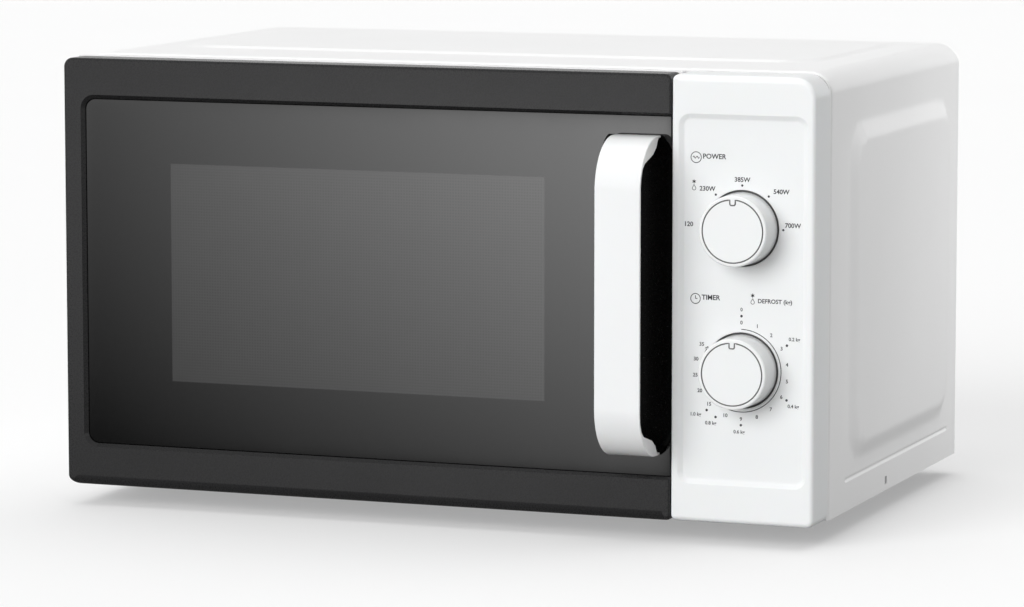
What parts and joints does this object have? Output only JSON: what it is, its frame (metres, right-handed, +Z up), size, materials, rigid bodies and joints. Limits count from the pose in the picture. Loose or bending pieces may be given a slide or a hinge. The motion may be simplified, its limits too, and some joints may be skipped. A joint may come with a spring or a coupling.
{
  "type": "microwave oven",
  "caption": "White countertop microwave oven: side-hinged dark glass door with an arched handle, panel with power and timer dials, turntable cavity, inner power supply.",
  "frame": {"origin": "centre of the footprint box (handle front to rear spacers) on the plane under the feet", "axes": "+X to the right seen from the front, +Y from the door towards the rear, +Z up"},
  "size_m": [0.4472, 0.329, 0.2557],
  "materials": {
    "white_paint": "satin",
    "cavity_paint": "satin",
    "white_plastic": "satin gloss",
    "black_plastic": "gloss",
    "dark_glass": "high gloss",
    "clear_glass": "clear",
    "mica": "matt",
    "zinc_steel": "zinc plated",
    "laminations": "matt",
    "copper": "enamelled wire",
    "aluminium": "satin",
    "grey_plastic": "matt",
    "red_plastic": "matt",
    "board": "matt",
    "rubber": "matt"
  },
  "bodies": {
    "oven": {"cabinet": "white_paint", "base_plate": "zinc_steel", "rear_panel": "zinc_steel", "cord_gland": "grey_plastic", "rear_spacer_left": "grey_plastic", "rear_spacer_right": "grey_plastic", "foot_front_left": "rubber", "foot_front_right": "rubber", "foot_rear_left": "rubber", "foot_rear_right": "rubber", "front_plate": "white_paint", "oven_cavity": "cavity_paint", "waveguide_cover": "mica", "waveguide": "zinc_steel", "cavity_lamp": "clear_glass", "magnetron_yoke": "zinc_steel", "magnetron_anode": "aluminium", "magnetron_filter": "zinc_steel", "transformer_core": "laminations", "primary_winding": "copper", "secondary_winding": "copper", "hv_capacitor": "aluminium", "hv_diode": "black_plastic", "line_filter": "board", "fan_shroud": "zinc_steel", "fan_motor": "laminations", "latch_board": "white_plastic", "primary_switch": "red_plastic", "secondary_switch": "red_plastic", "monitor_switch": "red_plastic", "control_panel": "white_plastic", "power_selector": "grey_plastic", "timer_unit": "zinc_steel", "timer_bell": "aluminium", "lower_hinge": "zinc_steel", "upper_hinge": "zinc_steel", "turntable_motor": "zinc_steel"},
    "door": {"door_frame": "black_plastic", "door_glass": "dark_glass", "door_choke": "zinc_steel", "choke_cover": "black_plastic", "inner_window": "clear_glass", "door_handle": "white_plastic"},
    "latch": {"door_latch": "white_plastic", "latch_spring": "zinc_steel"},
    "power_dial": {"power_knob": "white_plastic", "power_shaft": "zinc_steel"},
    "timer_dial": {"timer_knob": "white_plastic", "timer_shaft": "zinc_steel"},
    "coupler": {"turntable_coupler": "grey_plastic"},
    "tray": {"glass_tray": "clear_glass"},
    "ring": {"roller_ring": "grey_plastic"},
    "roller_a": {"roller_a": "grey_plastic"},
    "roller_b": {"roller_b": "grey_plastic"},
    "roller_c": {"roller_c": "grey_plastic"},
    "fan": {"fan_blade": "grey_plastic"},
    "primary_plunger": {"primary_plunger": "white_plastic"},
    "secondary_plunger": {"secondary_plunger": "white_plastic"},
    "monitor_plunger": {"monitor_plunger": "white_plastic"}
  },
  "joints": [
    {"name": "door_hinge", "type": "hinge", "parent": "oven", "child": "door", "pos_m": [-0.2115, -0.124, 0.132], "axis": [0, 0, -1], "range_deg": [0, 100]},
    {"name": "door_latch_lift", "type": "slide", "parent": "door", "child": "latch", "axis": [0, 0, 1], "range_m": [0, 0.004], "stiffness_N_per_m": 400, "springref_m": -0.002, "deforming": ["latch_spring"]},
    {"name": "power_knob_turn", "type": "hinge", "parent": "oven", "child": "power_dial", "pos_m": [0.179, -0.1325, 0.1716], "axis": [0, 1, 0], "range_deg": [-90, 90]},
    {"name": "timer_knob_turn", "type": "hinge", "parent": "oven", "child": "timer_dial", "pos_m": [0.179, -0.1325, 0.0952], "axis": [0, 1, 0], "range_deg": [0, 311]},
    {"name": "turntable_spin", "type": "hinge", "parent": "oven", "child": "coupler", "pos_m": [-0.05, 0.0155, 0.037], "axis": [0, 0, 1], "continuous": true},
    {"name": "glass_tray_lift", "type": "slide", "parent": "coupler", "child": "tray", "axis": [0, 0, 1], "range_m": [0, 0.03]},
    {"name": "roller_ring_spin", "type": "hinge", "parent": "oven", "child": "ring", "pos_m": [-0.05, 0.0155, 0.0391], "axis": [0, 0, 1], "continuous": true},
    {"name": "fan_spin", "type": "hinge", "parent": "oven", "child": "fan", "pos_m": [0.16, 0.1295, 0.162], "axis": [0, 1, 0], "continuous": true},
    {"name": "roller_a_spin", "type": "hinge", "parent": "ring", "child": "roller_a", "pos_m": [0.03487, 0.0645, 0.0391], "axis": [0.866, 0.5, 0], "continuous": true},
    {"name": "roller_b_spin", "type": "hinge", "parent": "ring", "child": "roller_b", "pos_m": [-0.13487, 0.0645, 0.0391], "axis": [-0.866, 0.5, 0], "continuous": true},
    {"name": "roller_c_spin", "type": "hinge", "parent": "ring", "child": "roller_c", "pos_m": [-0.05, -0.0825, 0.0391], "axis": [0, -1, 0], "continuous": true},
    {"name": "primary_plunger_press", "type": "slide", "parent": "oven", "child": "primary_plunger", "axis": [0, 1, 0], "range_m": [0, 0.001], "stiffness_N_per_m": 600, "springref_m": -0.001},
    {"name": "secondary_plunger_press", "type": "slide", "parent": "oven", "child": "secondary_plunger", "axis": [0, 1, 0], "range_m": [0, 0.001], "stiffness_N_per_m": 600, "springref_m": -0.001},
    {"name": "monitor_plunger_press", "type": "slide", "parent": "oven", "child": "monitor_plunger", "axis": [0, 1, 0], "range_m": [0, 0.001], "stiffness_N_per_m": 600, "springref_m": -0.001}
  ],
  "couplings": [
    {"joint": "roller_ring_spin", "follows": "turntable_spin", "ratio": 0.5},
    {"joint": "roller_a_spin", "follows": "turntable_spin", "ratio": -7.2059},
    {"joint": "roller_b_spin", "follows": "turntable_spin", "ratio": -7.2059},
    {"joint": "roller_c_spin", "follows": "turntable_spin", "ratio": -7.2059}
  ]
}
